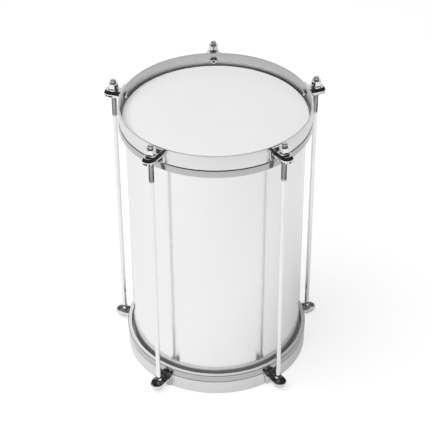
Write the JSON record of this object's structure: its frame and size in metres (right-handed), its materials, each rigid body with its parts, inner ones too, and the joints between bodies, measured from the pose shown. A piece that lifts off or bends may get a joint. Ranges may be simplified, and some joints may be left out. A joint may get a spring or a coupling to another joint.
{
  "type": "repinique drum",
  "caption": "Small double-headed metal drum with full-length tension rods between its counterhoops, tuned by nuts.",
  "frame": {"origin": "on the floor plane, under the middle of the drum's outline as seen from above; the drum's own axis stands 11.25 mm from it towards -Y, because the rear ear reaches further out than anything in front", "axes": "+Z along the drum's axis, from the lower head to the upper head; +Y towards the rear tension rod; +X to the right as seen from the front"},
  "size_m": [0.2448, 0.2346, 0.338],
  "materials": {
    "shell_aluminium": "polished, turned, with fine lines round the shell",
    "milky_film": "smooth milky polyester film with a soft gloss",
    "channel_aluminium": "satin extruded aluminium",
    "hoop_metal": "brushed lengthwise, rounded rim",
    "chromed_steel": "bright plated pressed sheet",
    "rivet_metal": "satin",
    "rod_steel": "bright plated, darker where threaded",
    "nut_steel": "bright plated"
  },
  "bodies": {
    "drum": {"shell": "shell_aluminium", "top_head_film": "milky_film", "top_head_channel": "channel_aluminium", "top_counterhoop": "hoop_metal", "bottom_head_film": "milky_film", "bottom_head_channel": "channel_aluminium", "bottom_counterhoop": "hoop_metal", "top_ear_1": "chromed_steel", "top_ear_rivet_1": "rivet_metal", "top_ear_2": "chromed_steel", "top_ear_rivet_2": "rivet_metal", "top_ear_3": "chromed_steel", "top_ear_rivet_3": "rivet_metal", "top_ear_4": "chromed_steel", "top_ear_rivet_4": "rivet_metal", "top_ear_5": "chromed_steel", "top_ear_rivet_5": "rivet_metal", "bottom_ear_1": "chromed_steel", "bottom_ear_rivet_1": "rivet_metal", "bottom_ear_2": "chromed_steel", "bottom_ear_rivet_2": "rivet_metal", "bottom_ear_3": "chromed_steel", "bottom_ear_rivet_3": "rivet_metal", "bottom_ear_4": "chromed_steel", "bottom_ear_rivet_4": "rivet_metal", "bottom_ear_5": "chromed_steel", "bottom_ear_rivet_5": "rivet_metal", "tension_rod_1": "rod_steel", "tension_rod_2": "rod_steel", "tension_rod_3": "rod_steel", "tension_rod_4": "rod_steel", "tension_rod_5": "rod_steel"},
    "washer_1": {"washer_1": "nut_steel"},
    "nut_1": {"tension_nut_1": "nut_steel"},
    "washer_2": {"washer_2": "nut_steel"},
    "nut_2": {"tension_nut_2": "nut_steel"},
    "washer_3": {"washer_3": "nut_steel"},
    "nut_3": {"tension_nut_3": "nut_steel"},
    "washer_4": {"washer_4": "nut_steel"},
    "nut_4": {"tension_nut_4": "nut_steel"},
    "washer_5": {"washer_5": "nut_steel"},
    "nut_5": {"tension_nut_5": "nut_steel"}
  },
  "joints": [
    {"name": "nut_climb_1", "type": "slide", "parent": "drum", "child": "washer_1", "axis": [0, 0, 1], "range_m": [0, 0.003]},
    {"name": "nut_turn_1", "type": "hinge", "parent": "washer_1", "child": "nut_1", "pos_m": [0, 0.10625, 0.331], "axis": [0, 0, 1], "range_deg": [0, 1080]},
    {"name": "nut_climb_2", "type": "slide", "parent": "drum", "child": "washer_2", "axis": [0, 0, 1], "range_m": [0, 0.003]},
    {"name": "nut_turn_2", "type": "hinge", "parent": "washer_2", "child": "nut_2", "pos_m": [-0.11175, 0.02506, 0.331], "axis": [0, 0, 1], "range_deg": [0, 1080]},
    {"name": "nut_climb_3", "type": "slide", "parent": "drum", "child": "washer_3", "axis": [0, 0, 1], "range_m": [0, 0.003]},
    {"name": "nut_turn_3", "type": "hinge", "parent": "washer_3", "child": "nut_3", "pos_m": [-0.06907, -0.10631, 0.331], "axis": [0, 0, 1], "range_deg": [0, 1080]},
    {"name": "nut_climb_4", "type": "slide", "parent": "drum", "child": "washer_4", "axis": [0, 0, 1], "range_m": [0, 0.003]},
    {"name": "nut_turn_4", "type": "hinge", "parent": "washer_4", "child": "nut_4", "pos_m": [0.06907, -0.10631, 0.331], "axis": [0, 0, 1], "range_deg": [0, 1080]},
    {"name": "nut_climb_5", "type": "slide", "parent": "drum", "child": "washer_5", "axis": [0, 0, 1], "range_m": [0, 0.003]},
    {"name": "nut_turn_5", "type": "hinge", "parent": "washer_5", "child": "nut_5", "pos_m": [0.11175, 0.02506, 0.331], "axis": [0, 0, 1], "range_deg": [0, 1080]}
  ],
  "couplings": [
    {"joint": "nut_turn_1", "follows": "nut_climb_1", "rad_per_m": 6283.2},
    {"joint": "nut_turn_2", "follows": "nut_climb_2", "rad_per_m": 6283.2},
    {"joint": "nut_turn_3", "follows": "nut_climb_3", "rad_per_m": 6283.2},
    {"joint": "nut_turn_4", "follows": "nut_climb_4", "rad_per_m": 6283.2},
    {"joint": "nut_turn_5", "follows": "nut_climb_5", "rad_per_m": 6283.2}
  ]
}
